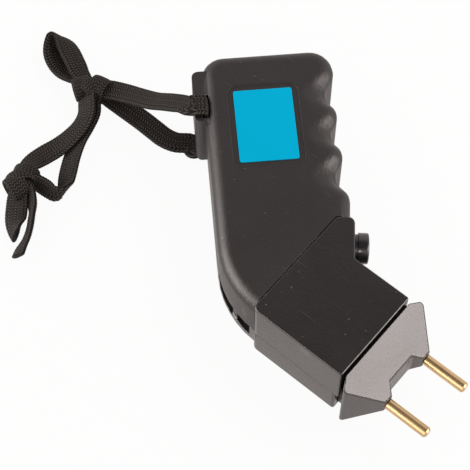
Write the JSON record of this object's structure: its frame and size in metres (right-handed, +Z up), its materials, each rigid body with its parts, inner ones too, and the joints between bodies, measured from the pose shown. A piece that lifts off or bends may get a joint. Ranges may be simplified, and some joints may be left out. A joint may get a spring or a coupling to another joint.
{
  "type": "cattle prodder",
  "caption": "Hand-held cattle prodder with a bent finger-grip body, wedge nose with brass prongs, side push button, battery cover and knotted wrist cord.",
  "frame": {"origin": "centre of the body's footprint, without the cord, on the rest face", "axes": "+X along the prongs, away from the grip; +Y to the button side; +Z up from the rest face"},
  "size_m": [0.2676, 0.1594, 0.0416],
  "materials": {
    "black_plastic": "satin moulded, fine grain",
    "button_plastic": "glossy moulded",
    "inner_plastic": "satin moulded",
    "brass": "turned",
    "steel": "plated",
    "tinned": "tin plated",
    "label_blue": "plain film",
    "potting": "cast resin",
    "lead_red": "insulated wire",
    "lead_blue": "insulated wire",
    "lead_yellow": "insulated wire",
    "battery_case": "plain can",
    "board_green": "solder mask",
    "ferrite": "ground ferrite",
    "copper_wire": "enamelled copper",
    "can_blue": "shrink sleeve",
    "film_brown": "dipped",
    "resistor_tan": "lacquered",
    "lace_black": "flat braid"
  },
  "bodies": {
    "body": {"grip_shell_near": "black_plastic", "grip_shell_far": "black_plastic", "head_housing": "black_plastic", "nose_cap": "black_plastic", "electrode_left": "brass", "electrode_right": "brass", "electrode_nuts": "steel", "electrode_tags": "tinned", "button_bush": "steel", "button_nut": "steel", "button_spring": "steel", "switch_body": "inner_plastic", "switch_terminals": "tinned", "label_plate": "label_blue", "output_coil": "potting", "hv_leads": "lead_red", "battery": "battery_case", "battery_terminals": "tinned", "battery_snap": "inner_plastic", "battery_leads": "lead_red", "battery_tray": "inner_plastic", "circuit_board": "board_green", "transformer_core": "ferrite", "transformer_winding": "copper_wire", "storage_capacitor": "can_blue", "film_capacitor": "film_brown", "power_transistor": "inner_plastic", "board_parts": "resistor_tan", "switch_leads": "lead_blue", "coil_leads": "lead_yellow", "shell_screws": "steel", "head_screws": "steel", "nose_screws": "steel", "tray_screws": "steel", "board_screws": "steel", "cord_loop": "lace_black", "cord_bow": "lace_black", "cord_strand_short": "lace_black", "cord_strand_long": "lace_black", "cord_end_loop": "lace_black", "cord_tail": "lace_black", "knot_one": "lace_black", "knot_two": "lace_black"},
    "cover": {"battery_cover": "black_plastic"},
    "button": {"button_cap": "button_plastic", "button_clip": "steel"}
  },
  "joints": [
    {"name": "cover_pull", "type": "slide", "parent": "body", "child": "cover", "axis": [0, 0, -1], "range_m": [0, 0.03]},
    {"name": "button_press", "type": "slide", "parent": "body", "child": "button", "axis": [-0.788, -0.6157, 0], "range_m": [0, 0.0015], "stiffness_N_per_m": 600, "springref_m": -0.002, "deforming": ["button_spring"]}
  ]
}
